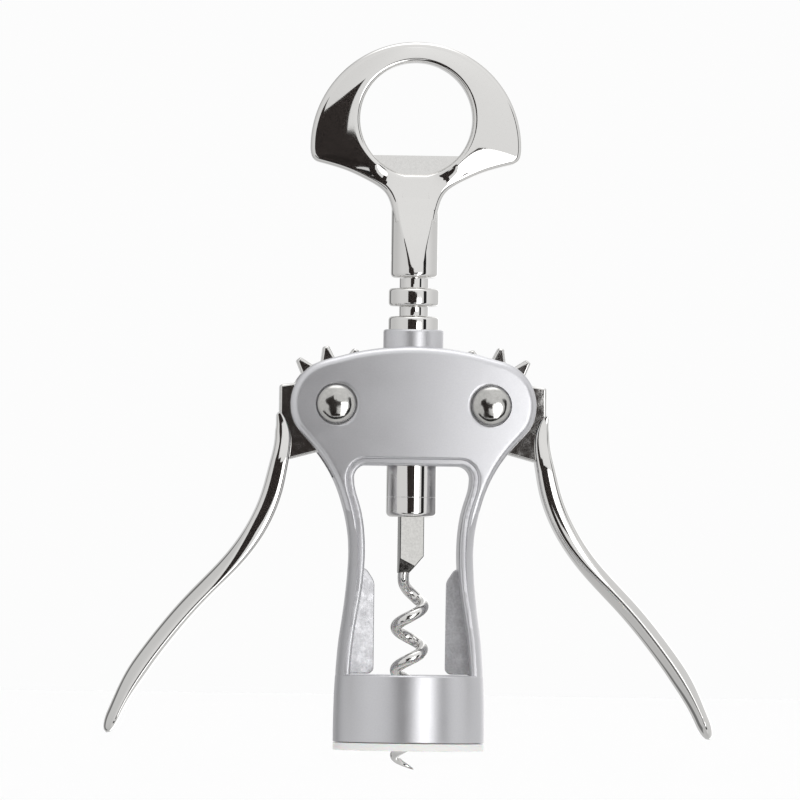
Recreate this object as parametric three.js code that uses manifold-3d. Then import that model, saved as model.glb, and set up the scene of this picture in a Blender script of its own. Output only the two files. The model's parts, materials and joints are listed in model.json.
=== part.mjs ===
// A wing corkscrew: two levers with gear sectors lift an annular rack, and with it a worm, out of a bottle.
// Millimetres, +Z up. The origin is the centre of the bell's mouth, on the axis of the bottle and the worm.
// The front looks along -Y, and the levers swing in the XZ plane.
import * as THREE from 'three';
import { mergeVertices } from 'three/addons/utils/BufferGeometryUtils.js';
import Module from 'manifold-3d';

const wasm = await Module();
wasm.setup();

// ---- Driving dimensions ----
const GAP = 0.3;                    // clearance between pieces that touch or slide

// The bell, which sits over the bottle's lip
const BELL_RADIUS = 18;
const BELL_TOP_RADIUS = 17.65;
const BELL_INNER_RADIUS = 16.2;
const BELL_TOP = 18;
const LINER_RIM = 1.75;             // height of the plastic rim under the metal bell
const LINER_INNER_RADIUS = 15.2;    // a bottle's lip is 14.5 to 15 mm in radius
const LINER_TOP = 13;
const STOP_INNER_RADIUS = 13.7;     // the shoulder that stops on the bottle's lip
const STOP_BOTTOM = 13.3;

// The lever pivots and the gearing
const PIVOT_X = 18.45;
const PIVOT_Z = 82.3;
const PITCH_RADIUS = 12.8;
const TOOTH_STEP = 30;              // degrees
const TOOTH_COUNT = 7;
const FIRST_TOOTH = -50;            // degrees, the lowest tooth of the left lever at rest
const ENGAGED_TOOTH = 10;           // degrees, the tooth in the rack's middle groove
const TIP_RADIUS = 14;
const ROOT_RADIUS = 10.3;
const TIP_HALF_WIDTH = 0.7;
const ROOT_HALF_WIDTH = 1.8;

// The frame casting
const FRAME_HALF_DEPTH = 8.7;
const SLOT_HALF_DEPTH = 5.2;        // inner faces of the two cheeks
const FRAME_BEVEL = 1.5;
const LOBE_RADIUS = 10.85;          // the cheek's round corner, about the pivot
const CROWN_RADIUS = 61.5;          // the cheek's top arc, about a point on the axis
const CROWN_TOP = 96.2;
const GEAR_CLEARANCE_RADIUS = 14.4;
const ARM_CLEARANCE_RADIUS = 17.5;
const NECK_RADIUS = 7.15;
const NECK_TOP = 100.3;
const NECK_BOTTOM = 91;
const WINDOW_TOP = 67.8;
const WINDOW_CORNER = 3.6;
const FIN_HALF_GAP = 8.5;
const FIN_HALF_THICKNESS = 0.9;
const FIN_BOTTOM = 18.4;
const FIN_TOP = 43.5;

// The pivot pins
const PIN_RADIUS = 2.8;
const PIN_HEAD_RADIUS = 4.6;
const PIN_HEAD_RECESS_RADIUS = 5;
const PIN_HEAD_RECESS = 1;
const PIN_HEAD_RIM = 0.9;
const PIN_DOME = 1.8;
const TENON_RADIUS = 1.7;
const TENON_LENGTH = 1.2;
const WASHER_RADIUS = 6.5;
const WASHER_THICKNESS = 0.5;

// The spindle: rack sleeve, rod, ferrule and worm
const RACK_PITCH = PITCH_RADIUS * THREE.MathUtils.degToRad(TOOTH_STEP);
const RING_RADIUS = 6;
const GROOVE_RADIUS = 3.45;
const GROOVE_WIDTH = 2.43;
const RING_EDGE = 0.7;              // bevel on each ring's two edges
const MIDDLE_GROOVE_Z = PIVOT_Z + PITCH_RADIUS * THREE.MathUtils.degToRad(ENGAGED_TOOTH);
const GROOVES_ABOVE = 4;
const GROOVES_BELOW = 2;
const SLEEVE_TOP = 112.3;
const SLEEVE_BOTTOM = 60.5;
const ROD_RADIUS = 2.3;
const ROD_TOP = 124;
const FERRULE_TOP = SLEEVE_BOTTOM - GAP;
const FERRULE_BOTTOM = 55.6;
const FERRULE_SOCKET_BOTTOM = 58;
const BORE_RADIUS = 6.3;            // the frame's two guides for the rack

// The worm: a flat shank, then round wire wound right-handed to a point
const SHANK_WIDTH = 5.9;
const SHANK_THICKNESS = 2.8;
const SHANK_TURN = 11;              // degrees
const SHANK_TOP = FERRULE_SOCKET_BOTTOM - GAP;
const SHANK_BOTTOM = 42.6;
const WIRE_RADIUS = 1.4;
const WIRE_TIP_RADIUS = 0.18;
const COIL_RADIUS = 3.2;
const COIL_PITCH = 10.2;
const COIL_LEFT_Z = 29.4;           // a height where the coil is at its far left
const COIL_TOP_Z = 36;              // the coil leads in to the shank above this
const WORM_TIP_Z = -4.5;

// The handle: a flat head with the crown-cap opener, on a round neck
const HEAD_RADIUS = 25.15;
const HEAD_CENTRE_Z = 143.8;
const HEAD_HALF_DEPTH = 3.9;
const HEAD_BEVEL = 1.3;
const RING_HOLE_RADIUS = 13.45;
const RING_HOLE_Z = 150.5;
const TONGUE_TOP = 141.8;
const TONGUE_HALF_DEPTH = 1.4;
const HANDLE_NECK_RADIUS = 5.6;
const HANDLE_BOTTOM = 112.6;
const HANDLE_NECK_TOP = 136;
const HEAD_PIN_Z = 117.5;
const HEAD_PIN_RADIUS = 1;

// The levers
const PLATE_HALF_DEPTH = 4;
const ARM_HALF_WIDTH = 5.6;         // along Y
const ARM_HALF_THICKNESS = 2.35;
const LEVER_BORE_RADIUS = PIN_RADIUS + GAP;

// ---- Materials ----
const satinNickel = new THREE.MeshStandardMaterial({ color: 0xb9b9bb, roughness: 0.38, metalness: 1 });
const chrome = new THREE.MeshStandardMaterial({ color: 0xdcdcdc, roughness: 0.08, metalness: 1 });
const steel = new THREE.MeshStandardMaterial({ color: 0xc2c2c0, roughness: 0.2, metalness: 1 });
const whiteNylon = new THREE.MeshStandardMaterial({ color: 0xeeeeec, roughness: 0.5, metalness: 0 });

// ---- Solids ----
// A closed three.js geometry as a solid.
function solidOf(geometry) {
  const bare = geometry.clone();
  bare.deleteAttribute('normal');
  bare.deleteAttribute('uv');
  const merged = mergeVertices(bare, 1e-4);
  return new wasm.Manifold(new wasm.Mesh({
    numProp: 3,
    vertProperties: merged.attributes.position.array,
    triVerts: new Uint32Array(merged.index.array),
  }));
}

// A solid as a three.js geometry again.
function geometryOf(solid) {
  const mesh = solid.getMesh();
  const geometry = new THREE.BufferGeometry();
  geometry.setAttribute('position', new THREE.BufferAttribute(mesh.vertProperties, 3));
  geometry.setIndex(new THREE.BufferAttribute(mesh.triVerts, 1));
  geometry.computeVertexNormals();
  return geometry;
}

const join = (...solids) => solids.reduce((sum, next) => sum.add(next));
const cut = (solid, ...cutters) => cutters.reduce((rest, cutter) => rest.subtract(cutter), solid);

// A shape in the XZ plane, extruded through the depth of the object and centred on its mid-plane.
function plate(shape, halfDepth, bevel = 0, curveSegments = 12) {
  const geometry = new THREE.ExtrudeGeometry(shape, {
    depth: 2 * (halfDepth - bevel),
    bevelEnabled: bevel > 0,
    bevelSize: bevel,
    bevelThickness: bevel,
    bevelOffset: -bevel,
    bevelSegments: 2,
    curveSegments,
  });
  return solidOf(geometry.translate(0, 0, -(halfDepth - bevel)).rotateX(Math.PI / 2));
}

// A closed profile of [radius, z] points turned about the Z axis.
function turned(profile, segments = 36) {
  const points = profile.map(([radius, z]) => new THREE.Vector2(radius, z));
  return solidOf(new THREE.LatheGeometry([...points, points[0].clone()], segments).rotateX(Math.PI / 2));
}

const tube = (inner, outer, bottom, top, segments) =>
  turned([[inner, bottom], [outer, bottom], [outer, top], [inner, top]], segments);

function rod(radius, bottom, top, segments = 32) {
  const geometry = new THREE.CylinderGeometry(radius, radius, top - bottom, segments);
  return solidOf(geometry.rotateX(Math.PI / 2).translate(0, 0, (bottom + top) / 2));
}

// A round bar along Y at [x, z], from one depth to another.
function crossRod(radius, x, z, front, back, segments = 32) {
  const geometry = new THREE.CylinderGeometry(radius, radius, back - front, segments);
  return solidOf(geometry.translate(x, (front + back) / 2, z));
}

function block(x0, x1, y0, y1, z0, z1) {
  const geometry = new THREE.BoxGeometry(x1 - x0, y1 - y0, z1 - z0);
  return solidOf(geometry.translate((x0 + x1) / 2, (y0 + y1) / 2, (z0 + z1) / 2));
}

// A bar whose section follows a centreline: place(t, around) gives the point of the skin.
function bar(place, sides, steps) {
  const geometry = new THREE.CylinderGeometry(1, 1, 1, sides, steps);
  const position = geometry.attributes.position;
  for (let i = 0; i < position.count; i++) {
    const t = position.getY(i) + 0.5;
    const onAxis = Math.hypot(position.getX(i), position.getZ(i)) < 0.5;
    const around = Math.atan2(position.getX(i), position.getZ(i));
    const point = place(t, around, onAxis ? 0 : 1);
    position.setXYZ(i, point.x, point.y, point.z);
  }
  return solidOf(geometry);
}

const mirrored = (points) => points.map(([x, z]) => [-x, z]).reverse();
const shapeOf = (points) => new THREE.Shape(points.map(([x, z]) => new THREE.Vector2(x, z)));

// Points of an arc about a centre, from one angle to another, both in degrees.
function arcPoints(centreX, centreZ, radius, from, to, count) {
  return Array.from({ length: count + 1 }, (_, i) => {
    const angle = THREE.MathUtils.degToRad(from + (to - from) * i / count);
    return [centreX + radius * Math.cos(angle), centreZ + radius * Math.sin(angle)];
  });
}

// Evenly spaced points on a smooth curve through a few points.
function smoothPoints(points, count) {
  const curve = new THREE.CatmullRomCurve3(points.map(([x, z]) => new THREE.Vector3(x, 0, z)), false, 'centripetal');
  return curve.getSpacedPoints(count).map((point) => [point.x, point.z]);
}

// ---- The frame casting ----
// Right-hand side of the outer outline, from inside the bell up to the crown's middle.
function frameSide() {
  const leg = smoothPoints([
    [17.65, 14], [17.65, 19], [16.8, 26.3], [15.4, 35.8], [14.66, 46.5], [15, 52.5], [16.1, 57.3],
    [18.7, 64.4], [22.7, 70.8], [25.2, 73.8],
  ], 14);
  const lobe = arcPoints(PIVOT_X, PIVOT_Z, LOBE_RADIUS, -48, 54, 8);
  const crownEnd = THREE.MathUtils.radToDeg(Math.acos(23.6 / CROWN_RADIUS));
  const crown = arcPoints(0, CROWN_TOP - CROWN_RADIUS, CROWN_RADIUS, crownEnd, 90, 5);
  return [...leg, ...lobe, ...crown.slice(0, -1)];
}

// The hourglass window between the legs.
function windowOutline() {
  const side = smoothPoints([
    [14.5, 15], [14.3, 20], [13.2, 29], [11.4, 39], [10.95, 46.5], [11.3, 52.5], [12.2, 57.3], [13.8, 63.5],
  ], 10);
  const corner = arcPoints(10.5, WINDOW_TOP - WINDOW_CORNER, WINDOW_CORNER, 0, 90, 4);
  const right = [...side, ...corner];
  return [...right, ...mirrored(right)];
}

// The lower frame is as round as the bell, so the legs stand on it; higher up nothing is turned away.
function roundness() {
  return turned([
    [0, 15], [BELL_TOP_RADIUS - 0.1, 15], [BELL_TOP_RADIUS - 0.1, 19], [17, 26.3], [15.7, 35.8], [15.2, 46.5],
    [16.4, 52.5], [21, 60], [34, 66], [34, NECK_TOP], [0, NECK_TOP],
  ], 48);
}

// Room between the cheeks for one lever's gear, plate and arm, on the right.
function leverRoom() {
  const gear = crossRod(GEAR_CLEARANCE_RADIUS, PIVOT_X, PIVOT_Z, -SLOT_HALF_DEPTH, SLOT_HALF_DEPTH, 40);
  const sweep = shapeOf([
    [PIVOT_X, PIVOT_Z],
    ...arcPoints(PIVOT_X, PIVOT_Z, ARM_CLEARANCE_RADIUS, -92, 114, 14),
  ]);
  return join(gear, plate(sweep, SLOT_HALF_DEPTH));
}

// One cork-gripping fin on the inside of the right leg.
function fin() {
  const outline = [
    [FIN_HALF_GAP, FIN_BOTTOM + 1.4], [FIN_HALF_GAP + 1.4, FIN_BOTTOM], [15.6, FIN_BOTTOM], [15.4, 23], [12.6, 38],
    [11.8, FIN_TOP], [11, FIN_TOP], [9.7, FIN_TOP - 0.6], [8.8, FIN_TOP - 2], [FIN_HALF_GAP, FIN_TOP - 4],
  ];
  return plate(shapeOf(outline), FIN_HALF_THICKNESS);
}

// The round bell at the foot, with an inner shoulder that stops on the bottle's lip.
function bell() {
  return turned([
    [BELL_INNER_RADIUS, LINER_RIM + GAP], [BELL_RADIUS, LINER_RIM + GAP], [BELL_RADIUS, 8],
    [BELL_TOP_RADIUS + 0.1, BELL_TOP - 0.6], [BELL_TOP_RADIUS - 0.4, BELL_TOP], [STOP_INNER_RADIUS, BELL_TOP],
    [STOP_INNER_RADIUS, STOP_BOTTOM], [BELL_INNER_RADIUS, STOP_BOTTOM],
  ], 48);
}

// The pivot's bore through both cheeks, with a recess for the pin's head on each face.
function pivotHole(side) {
  const bore = crossRod(PIN_RADIUS + GAP, side * PIVOT_X, PIVOT_Z, -10, 10, 24);
  const floor = FRAME_HALF_DEPTH - PIN_HEAD_RECESS;
  const front = crossRod(PIN_HEAD_RECESS_RADIUS, side * PIVOT_X, PIVOT_Z, -10, -floor);
  const back = crossRod(PIN_HEAD_RECESS_RADIUS, side * PIVOT_X, PIVOT_Z, floor, 10);
  return join(bore, front, back);
}

function frameCasting() {
  const right = frameSide();
  const outline = shapeOf([...right, [0, CROWN_TOP], ...mirrored(right)]);
  const window = plate(shapeOf(windowOutline()), FRAME_HALF_DEPTH + 2);
  const room = leverRoom();
  const shell = cut(plate(outline, FRAME_HALF_DEPTH, FRAME_BEVEL).intersect(roundness()), window, room,
    room.mirror([1, 0, 0]));
  const neck = turned([
    [0, NECK_BOTTOM], [NECK_RADIUS, NECK_BOTTOM], [NECK_RADIUS, NECK_TOP - 0.4], [NECK_RADIUS - 0.4, NECK_TOP],
    [0, NECK_TOP],
  ]);
  const bore = rod(BORE_RADIUS, WINDOW_TOP - 1, NECK_TOP + 1, 36);
  const housing = cut(join(shell, neck), bore, pivotHole(-1), pivotHole(1));
  const mouth = rod(STOP_INNER_RADIUS, 10, BELL_TOP, 48);
  return join(cut(housing, mouth), bell(), fin(), fin().mirror([1, 0, 0]));
}

// ---- The bell's plastic liner ----
function bellLiner() {
  return turned([
    [LINER_INNER_RADIUS, 0], [BELL_RADIUS, 0], [BELL_RADIUS, LINER_RIM], [BELL_INNER_RADIUS - GAP, LINER_RIM],
    [BELL_INNER_RADIUS - GAP, LINER_TOP], [LINER_INNER_RADIUS, LINER_TOP],
  ], 48);
}

// ---- The levers, built about their pivot for the left side ----
// One tooth, going round from its lower root to its upper root, as [x, z] about the pivot.
function toothPoints(degrees) {
  const angle = THREE.MathUtils.degToRad(degrees);
  const across = ([radius, offset]) => [
    radius * Math.cos(angle) - offset * Math.sin(angle),
    radius * Math.sin(angle) + offset * Math.cos(angle),
  ];
  return [
    [ROOT_RADIUS, -ROOT_HALF_WIDTH], [TIP_RADIUS - 0.25, -TIP_HALF_WIDTH], [TIP_RADIUS, -TIP_HALF_WIDTH + 0.25],
    [TIP_RADIUS, TIP_HALF_WIDTH - 0.25], [TIP_RADIUS - 0.25, TIP_HALF_WIDTH], [ROOT_RADIUS, ROOT_HALF_WIDTH],
  ].map(across);
}

function leverPlate() {
  const teeth = Array.from({ length: TOOTH_COUNT }, (_, i) => toothPoints(FIRST_TOOTH + i * TOOTH_STEP)).flat();
  const outline = shapeOf([
    ...teeth, [-9.6, 4.8], [-12.6, 4.5], [-13.3, 3.8], [-13.3, -8], [-11.5, -13.3], [-10.6, -13.2], [-4.5, -11.6],
    [2, -10.6],
  ]);
  return plate(outline, PLATE_HALF_DEPTH);
}

// The arm sweeps out from the plate in a shallow S, seen along Y, and ends in a round tip.
const ARM_LINE = new THREE.CatmullRomCurve3([
  [-12.3, -3.4], [-12.5, -9], [-13.9, -18.4], [-17.5, -28], [-24, -37.7], [-33, -47.3], [-41.1, -57],
  [-47.8, -66.7], [-52.5, -76.3], [-53.6, -79],
].map(([x, z]) => new THREE.Vector3(x, 0, z)), false, 'centripetal');

// The arm is a rounded bar with flat faces at its top, and thins to a lens with two ridges lower down.
function leverArm() {
  return bar((t, around, reach) => {
    const centre = ARM_LINE.getPointAt(t);
    const along = ARM_LINE.getTangentAt(t);
    const outward = new THREE.Vector3(along.z, 0, -along.x);
    const tip = Math.sqrt(1 - Math.max(0, (t - 0.93) / 0.07) ** 2) * 0.92 + 0.08;
    const swell = THREE.MathUtils.smoothstep(t, 0.02, 0.16);
    const width = THREE.MathUtils.lerp(PLATE_HALF_DEPTH + 0.1, ARM_HALF_WIDTH, swell) * tip;
    const thickness = THREE.MathUtils.lerp(1.2, ARM_HALF_THICKNESS, THREE.MathUtils.smoothstep(t, 0, 0.1)) * tip;
    const [s, c] = [Math.sin(around), Math.cos(around)];
    const ridge = THREE.MathUtils.smoothstep(t, 0.3, 0.52);
    const square = (value) => Math.sign(value) * Math.abs(value) ** 0.45;
    const across = THREE.MathUtils.lerp(square(c), c * Math.abs(c), ridge);
    const deep = THREE.MathUtils.lerp(square(s), s, ridge);
    return centre
      .addScaledVector(outward, reach * thickness * across)
      .add(new THREE.Vector3(0, reach * width * deep, 0));
  }, 12, 26);
}

function lever() {
  return cut(join(leverPlate(), leverArm()), crossRod(LEVER_BORE_RADIUS, 0, 0, -7, 7, 24));
}

// ---- The pivots, built about the pivot's centre ----
// The domed end of a pin or cap, above its seat against the cheek.
const PIN_SEAT = FRAME_HALF_DEPTH - PIN_HEAD_RECESS + 0.05;
const pinDome = () => arcPoints(0, 0, 1, 0, 90, 4).map(([x, z]) =>
  [x * PIN_HEAD_RADIUS, PIN_SEAT + PIN_HEAD_RIM + z * PIN_DOME]);

function pivotPin() {
  const shoulder = GAP - PIN_SEAT;
  return turned([
    [0, shoulder - TENON_LENGTH], [TENON_RADIUS, shoulder - TENON_LENGTH], [TENON_RADIUS, shoulder],
    [PIN_RADIUS, shoulder], [PIN_RADIUS, PIN_SEAT], [PIN_HEAD_RADIUS, PIN_SEAT], ...pinDome().slice(0, -1),
    [0, PIN_SEAT + PIN_HEAD_RIM + PIN_DOME],
  ], 28).rotate([90, 0, 0]);
}

function pinCap() {
  const socket = PIN_SEAT + TENON_LENGTH;
  return turned([
    [0, socket], [TENON_RADIUS + GAP, socket], [TENON_RADIUS + GAP, PIN_SEAT], [PIN_HEAD_RADIUS, PIN_SEAT],
    ...pinDome().slice(0, -1), [0, PIN_SEAT + PIN_HEAD_RIM + PIN_DOME],
  ], 28).rotate([-90, 0, 0]);
}

function thrustWasher() {
  return tube(PIN_RADIUS + GAP, WASHER_RADIUS, -WASHER_THICKNESS / 2, WASHER_THICKNESS / 2, 24).rotate([90, 0, 0]);
}

// ---- The spindle ----
// One groove between two bevelled rings, from its upper edge down, as [radius, z].
function groovePoints(z) {
  const half = GROOVE_WIDTH / 2;
  return [
    [RING_RADIUS, z + half + RING_EDGE], [RING_RADIUS - RING_EDGE, z + half], [GROOVE_RADIUS, z + half],
    [GROOVE_RADIUS, z - half], [RING_RADIUS - RING_EDGE, z - half], [RING_RADIUS, z - half - RING_EDGE],
  ];
}

function rackSleeve() {
  const count = GROOVES_ABOVE + GROOVES_BELOW;
  const top = MIDDLE_GROOVE_Z + GROOVES_ABOVE * RACK_PITCH;
  const grooves = Array.from({ length: count }, (_, i) => groovePoints(top - (i + 1) * RACK_PITCH)).flat();
  return turned([
    [ROD_RADIUS + GAP, SLEEVE_TOP], [GROOVE_RADIUS, SLEEVE_TOP], ...groovePoints(top).slice(3), ...grooves,
    [RING_RADIUS, SLEEVE_BOTTOM], [ROD_RADIUS + GAP, SLEEVE_BOTTOM],
  ].reverse(), 28);
}

function ferrule() {
  const body = turned([
    [0, FERRULE_BOTTOM], [RING_RADIUS - 1.1, FERRULE_BOTTOM], [RING_RADIUS - 0.35, FERRULE_BOTTOM + 0.35],
    [RING_RADIUS, FERRULE_BOTTOM + 1.1], [RING_RADIUS, FERRULE_TOP], [0, FERRULE_TOP],
  ], 28);
  return cut(body, rod(ROD_RADIUS + GAP, FERRULE_SOCKET_BOTTOM, FERRULE_TOP + 1, 24), shankBlock(GAP, GAP));
}

// The flat shank, turned a little about the axis; the same block, larger, cuts its slot.
function shankBlock(margin, extraHeight) {
  const [x, y] = [SHANK_WIDTH / 2 + margin, SHANK_THICKNESS / 2 + margin];
  return block(-x, x, -y, y, SHANK_BOTTOM, SHANK_TOP + extraHeight).rotate([0, 0, SHANK_TURN]);
}

// The wire's centre, from the tip at t = 0 up the right-handed coil and in to the shank's left edge.
function wormLine(t) {
  const coilTurns = (COIL_TOP_Z - WORM_TIP_Z) / COIL_PITCH;
  const leadIn = 0.36;
  const below = (1 - t) * (coilTurns + leadIn) - leadIn;
  const topAngle = Math.PI + 2 * Math.PI * (COIL_TOP_Z - COIL_LEFT_Z) / COIL_PITCH;
  const angle = topAngle - 2 * Math.PI * below;
  const rise = Math.max(0, -below) / leadIn;
  const radius = COIL_RADIUS - 1.6 * rise;
  const z = COIL_TOP_Z - Math.max(0, below) * COIL_PITCH + rise * (SHANK_BOTTOM + 1.6 - COIL_TOP_Z);
  const depth = Math.sin(angle) * radius * (1 - THREE.MathUtils.smoothstep(rise, 0.4, 1));
  return new THREE.Vector3(Math.cos(angle) * radius, depth, z);
}

function worm() {
  const wire = bar((t, around, reach) => {
    const step = 1e-3;
    const along = wormLine(Math.min(1, t + step)).sub(wormLine(Math.max(0, t - step))).normalize();
    const side = new THREE.Vector3(0, 0, 1).addScaledVector(along, -along.z).normalize();
    const across = new THREE.Vector3().crossVectors(along, side);
    const radius = THREE.MathUtils.lerp(WIRE_TIP_RADIUS, WIRE_RADIUS, THREE.MathUtils.smoothstep(t, 0, 0.16)) * reach;
    return wormLine(t)
      .addScaledVector(side, radius * Math.cos(around))
      .addScaledVector(across, radius * Math.sin(around));
  }, 8, 84);
  const corner = solidOf(new THREE.BoxGeometry(9, 9, 9).rotateY(THREE.MathUtils.degToRad(-48))
    .translate(5.6, 0, SHANK_BOTTOM - 2.5));
  return join(wire, cut(shankBlock(0, 0), corner));
}

// ---- The handle ----
// Right-hand side of the head's outline, from the neck round to the top's middle.
function headOutline() {
  const sweep = smoothPoints([
    [5.6, 129.5], [6.2, 132.1], [8.3, 134], [11.4, 135.9], [15.7, 137.9], [22.2, 139.8],
  ], 10);
  const dome = arcPoints(0, HEAD_CENTRE_Z, HEAD_RADIUS, -3, 90, 12);
  return [...sweep, [24, 140.5], [24.8, 141.4], ...dome.slice(0, -1)];
}

// The neck's side view: its two faces lean in to the flat head.
function neckWedge() {
  const side = [[HANDLE_NECK_RADIUS, 112], [5.55, 114], [5.3, 121], [4.4, 127], [HEAD_HALF_DEPTH, 132],
    [HEAD_HALF_DEPTH, 137]];
  return plate(shapeOf([...side, ...mirrored(side)]), 8).rotate([0, 0, 90]);
}

function openerHead() {
  const right = headOutline();
  const outline = shapeOf([...right, [0, HEAD_CENTRE_Z + HEAD_RADIUS], ...mirrored(right)]);
  const hole = arcPoints(0, RING_HOLE_Z, RING_HOLE_RADIUS, 0, 360, 36).slice(0, -1);
  outline.holes.push(new THREE.Path(hole.map(([x, z]) => new THREE.Vector2(x, z))));
  const head = plate(outline, HEAD_HALF_DEPTH, HEAD_BEVEL);
  const tongue = crossRod(RING_HOLE_RADIUS + HEAD_BEVEL, 0, RING_HOLE_Z, -TONGUE_HALF_DEPTH, TONGUE_HALF_DEPTH)
    .intersect(block(-20, 20, -5, 5, 130, TONGUE_TOP));
  const neck = turned([
    [0, HANDLE_BOTTOM], [HANDLE_NECK_RADIUS - 0.8, HANDLE_BOTTOM], [HANDLE_NECK_RADIUS - 0.2, HANDLE_BOTTOM + 0.2],
    [HANDLE_NECK_RADIUS, HANDLE_BOTTOM + 0.8], [HANDLE_NECK_RADIUS, HANDLE_NECK_TOP], [0, HANDLE_NECK_TOP],
  ], 32);
  const socket = rod(ROD_RADIUS + GAP, HANDLE_BOTTOM - 1, ROD_TOP + GAP, 24);
  return cut(join(head, tongue, neck.intersect(neckWedge())), socket, headPin(HEAD_PIN_RADIUS + GAP, 8));
}

// The cross pin through the neck and the rod, along X; the same bar, larger, drills its hole.
function headPin(radius, reach) {
  return rod(radius, -reach, reach, 20).rotate([0, 90, 0]).translate([0, 0, HEAD_PIN_Z]);
}

function driveRod() {
  return cut(rod(ROD_RADIUS, FERRULE_SOCKET_BOTTOM + GAP, ROD_TOP, 24), headPin(HEAD_PIN_RADIUS + GAP, 8));
}

// ---- The assembly ----
const corkscrew = new THREE.Group();
corkscrew.name = 'wing_corkscrew';

function add(name, solid, material, place = [0, 0, 0], turn = 0) {
  const mesh = new THREE.Mesh(geometryOf(solid), material);
  mesh.name = name;
  mesh.position.set(...place);
  mesh.rotation.z = turn;
  corkscrew.add(mesh);
}

add('frame_casting', frameCasting(), satinNickel);
add('bell_liner', bellLiner(), whiteNylon);
add('opener_head', openerHead(), chrome);
add('rack_sleeve', rackSleeve(), chrome);
add('drive_rod', driveRod(), steel);
add('head_pin', headPin(HEAD_PIN_RADIUS, HANDLE_NECK_RADIUS - 0.1), steel);
add('worm_ferrule', ferrule(), chrome);
add('worm', worm(), steel);

for (const [side, sign] of [['left', -1], ['right', 1]]) {
  const pivot = [sign * PIVOT_X, 0, PIVOT_Z];
  add(`lever_${side}`, lever(), chrome, pivot, sign > 0 ? Math.PI : 0);
  add(`pivot_pin_${side}`, pivotPin(), chrome, pivot);
  add(`pin_cap_${side}`, pinCap(), chrome, pivot);
  for (const [face, depth] of [['front', -1], ['back', 1]]) {
    const between = depth * (PLATE_HALF_DEPTH + SLOT_HALF_DEPTH) / 2;
    add(`washer_${side}_${face}`, thrustWasher(), whiteNylon, [pivot[0], between, pivot[2]]);
  }
}

export default corkscrew;
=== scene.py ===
"""A wing corkscrew: chrome levers, rack and handle in a satin nickel frame with a plastic-lined bell."""
import json
import math

import bmesh
import bpy
import numpy as np
from bpy.props import FloatProperty, FloatVectorProperty, IntProperty, PointerProperty
from bpy.types import Operator, Panel, PropertyGroup
from mathutils import Matrix, Vector


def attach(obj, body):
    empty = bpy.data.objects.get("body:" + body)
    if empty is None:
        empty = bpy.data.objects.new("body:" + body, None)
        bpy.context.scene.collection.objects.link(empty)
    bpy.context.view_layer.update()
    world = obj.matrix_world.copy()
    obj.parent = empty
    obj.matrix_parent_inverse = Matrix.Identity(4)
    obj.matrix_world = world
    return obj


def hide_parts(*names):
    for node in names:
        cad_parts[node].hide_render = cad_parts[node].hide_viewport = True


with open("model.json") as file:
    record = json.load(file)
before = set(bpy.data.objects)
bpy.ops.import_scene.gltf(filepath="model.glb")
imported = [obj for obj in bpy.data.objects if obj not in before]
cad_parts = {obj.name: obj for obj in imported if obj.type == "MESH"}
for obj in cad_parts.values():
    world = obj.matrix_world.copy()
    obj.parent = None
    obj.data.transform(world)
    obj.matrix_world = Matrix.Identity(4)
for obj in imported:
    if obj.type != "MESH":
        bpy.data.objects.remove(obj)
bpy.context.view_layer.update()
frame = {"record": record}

bl_info = {
    "name": "Wing Corkscrew",
    "version": (1, 0, 0),
    "blender": (4, 5, 0),
    "location": "View3D > Sidebar > Corkscrew",
    "description": "Builds a wing corkscrew piece by piece around its packed frame",
    "category": "Object",
}

MM = 0.001
joints = {joint["name"]: joint for joint in frame["record"]["behaviour"]["joints"]}

# The right lever's pivot, as x, y and z in mm; the left one is its mirror image.
PIVOT = [abs(value) / MM for value in joints["left_lever_pivot"]["pos_m"]]

# Driving values, in mm except the last two.
CROWN_REACH = 27               # from the axis to where a cheek's face has fallen by its whole crown
HEAD_CENTRE = (0, 143.8)       # of the head's domed outline
RING_CENTRE = (0, 150.5)       # of the hole in the head
NECK_FOOT = 112.65             # the lower end of the handle's neck
CROSS_PIN_Z = 117.5            # the pin that locks the rod into the handle
SEAM_Z = 60.34                 # the seam between the rack and the ferrule
FLOOR_Z = -40                  # below the worm at its lowest
TENT_DISTANCE = 420            # from the axis to the tent's front
SHANK_TURN = math.radians(11)  # how far the worm's flat shank stands turned from square, in radians
BACKDROP = 0.975               # the brightness behind the tool, where white is 1


def linear(hex_colour):
    """A linear RGB colour from an sRGB hex value."""
    values = [int(hex_colour[i:i + 2], 16) / 255 for i in (1, 3, 5)]
    return tuple(v / 12.92 if v <= 0.04045 else ((v + 0.055) / 1.055) ** 2.4 for v in values)


# ---------------------------------------------------------------- sizes and colours a user would change


def length(name, description, millimetres):
    return FloatProperty(name=name, description=description, default=millimetres * MM, min=0.0, unit="LENGTH")


def colour(name, description, hex_colour):
    return FloatVectorProperty(
        name=name, description=description, default=linear(hex_colour), size=3, min=0.0, max=1.0,
        subtype="COLOR",
    )


class FrameSizes(PropertyGroup):
    cheek_half_depth: length("Cheek half depth", "From the mid-plane to a cheek's outer face", 8.7)
    crown: length("Crown", "How far a cheek's face falls from its middle to its sides", 0.95)
    slot_half_depth: length("Slot half depth", "From the mid-plane to a cheek's inner face", 5.2)
    shoulder_round: length("Shoulder rounding", "Rounding of the housing's outer edge", 1.8)
    leg_round: length("Leg rounding", "Rounding of the legs' edges", 1.4)
    bead_width: length("Bead width", "Width of the bead round the window", 1.45)
    neck_radius: length("Neck radius", "Radius of the rack's guide above the housing", 7.15)
    bell_radius: length("Bell radius", "Outer radius of the bell", 18.0)


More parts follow.
